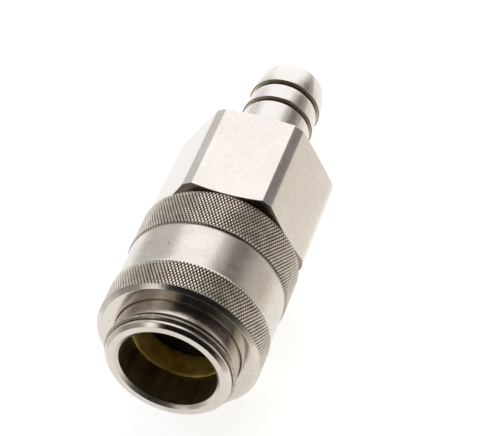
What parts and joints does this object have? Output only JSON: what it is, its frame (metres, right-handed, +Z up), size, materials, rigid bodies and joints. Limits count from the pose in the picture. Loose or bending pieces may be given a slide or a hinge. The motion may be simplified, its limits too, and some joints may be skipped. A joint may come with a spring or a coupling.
{
  "type": "quick release coupling socket",
  "caption": "Ball-lock quick-release coupling socket with a knurled sliding sleeve, inner valve, long hexagon and hose barb.",
  "frame": {"origin": "on the axis where the straight wall of the socket bore starts, 0.8 mm behind the mouth face", "axes": "+Y along the coupling's axis from mouth to hose barb, +Z up through one flat of the hexagon, mouth facing -Y"},
  "size_m": [0.046, 0.118, 0.046],
  "materials": {
    "nickel_turned": "turned nickel plate, satin to polished",
    "nickel_sleeve": "nickel plate, knurled bands darkened in the grooves",
    "nickel_hex": "bright nickel plate on drawn hexagon bar",
    "steel_ring": "polished spring wire",
    "spring_steel": "drawn wire",
    "ball_steel": "ground and polished",
    "brass": "turned, tarnished",
    "seal_rubber": "matte black"
  },
  "bodies": {
    "nose": {"nose_body": "nickel_turned", "snap_ring": "steel_ring", "hex_adapter": "nickel_hex", "body_seal": "seal_rubber", "stem_seal": "seal_rubber", "valve_spring": "spring_steel"},
    "sleeve_drive": {"sleeve_spring": "spring_steel"},
    "locking_sleeve": {"locking_sleeve": "nickel_sleeve"},
    "valve": {"valve_sleeve": "brass", "plug_seal": "seal_rubber", "valve_head": "brass", "valve_head_seal": "seal_rubber"},
    "ball_01": {"ball_01": "ball_steel"},
    "ball_02": {"ball_02": "ball_steel"},
    "ball_03": {"ball_03": "ball_steel"},
    "ball_04": {"ball_04": "ball_steel"},
    "ball_05": {"ball_05": "ball_steel"},
    "ball_06": {"ball_06": "ball_steel"},
    "ball_07": {"ball_07": "ball_steel"},
    "ball_08": {"ball_08": "ball_steel"},
    "ball_09": {"ball_09": "ball_steel"},
    "ball_10": {"ball_10": "ball_steel"}
  },
  "joints": [
    {"name": "sleeve_slide", "type": "slide", "parent": "nose", "child": "sleeve_drive", "axis": [0, -1, 0], "range_m": [0, 0.0045], "deforming": ["sleeve_spring"]},
    {"name": "sleeve_spin", "type": "hinge", "parent": "sleeve_drive", "child": "locking_sleeve", "pos_m": [0, 0.026, 0], "axis": [0, 1, 0], "continuous": true},
    {"name": "valve_slide", "type": "slide", "parent": "nose", "child": "valve", "axis": [0, 1, 0], "range_m": [0, 0.00811], "deforming": ["valve_spring"]},
    {"name": "ball_01_slide", "type": "slide", "parent": "nose", "child": "ball_01", "axis": [-1, 0, 0], "range_m": [0, 0.00138]},
    {"name": "ball_02_slide", "type": "slide", "parent": "nose", "child": "ball_02", "axis": [-0.809, 0, 0.5878], "range_m": [0, 0.00138]},
    {"name": "ball_03_slide", "type": "slide", "parent": "nose", "child": "ball_03", "axis": [-0.309, 0, 0.9511], "range_m": [0, 0.00138]},
    {"name": "ball_04_slide", "type": "slide", "parent": "nose", "child": "ball_04", "axis": [0.309, 0, 0.9511], "range_m": [0, 0.00138]},
    {"name": "ball_05_slide", "type": "slide", "parent": "nose", "child": "ball_05", "axis": [0.809, 0, 0.5878], "range_m": [0, 0.00138]},
    {"name": "ball_06_slide", "type": "slide", "parent": "nose", "child": "ball_06", "axis": [1, 0, 0], "range_m": [0, 0.00138]},
    {"name": "ball_07_slide", "type": "slide", "parent": "nose", "child": "ball_07", "axis": [0.809, 0, -0.5878], "range_m": [0, 0.00138]},
    {"name": "ball_08_slide", "type": "slide", "parent": "nose", "child": "ball_08", "axis": [0.309, 0, -0.9511], "range_m": [0, 0.00138]},
    {"name": "ball_09_slide", "type": "slide", "parent": "nose", "child": "ball_09", "axis": [-0.309, 0, -0.9511], "range_m": [0, 0.00138]},
    {"name": "ball_10_slide", "type": "slide", "parent": "nose", "child": "ball_10", "axis": [-0.809, 0, -0.5878], "range_m": [0, 0.00138]}
  ],
  "couplings": [
    {"joint": "valve_slide", "follows": "sleeve_slide", "ratio": 1.8},
    {"joint": "ball_01_slide", "follows": "sleeve_slide", "ratio": 0.304},
    {"joint": "ball_02_slide", "follows": "sleeve_slide", "ratio": 0.304},
    {"joint": "ball_03_slide", "follows": "sleeve_slide", "ratio": 0.304},
    {"joint": "ball_04_slide", "follows": "sleeve_slide", "ratio": 0.304},
    {"joint": "ball_05_slide", "follows": "sleeve_slide", "ratio": 0.304},
    {"joint": "ball_06_slide", "follows": "sleeve_slide", "ratio": 0.304},
    {"joint": "ball_07_slide", "follows": "sleeve_slide", "ratio": 0.304},
    {"joint": "ball_08_slide", "follows": "sleeve_slide", "ratio": 0.304},
    {"joint": "ball_09_slide", "follows": "sleeve_slide", "ratio": 0.304},
    {"joint": "ball_10_slide", "follows": "sleeve_slide", "ratio": 0.304}
  ]
}
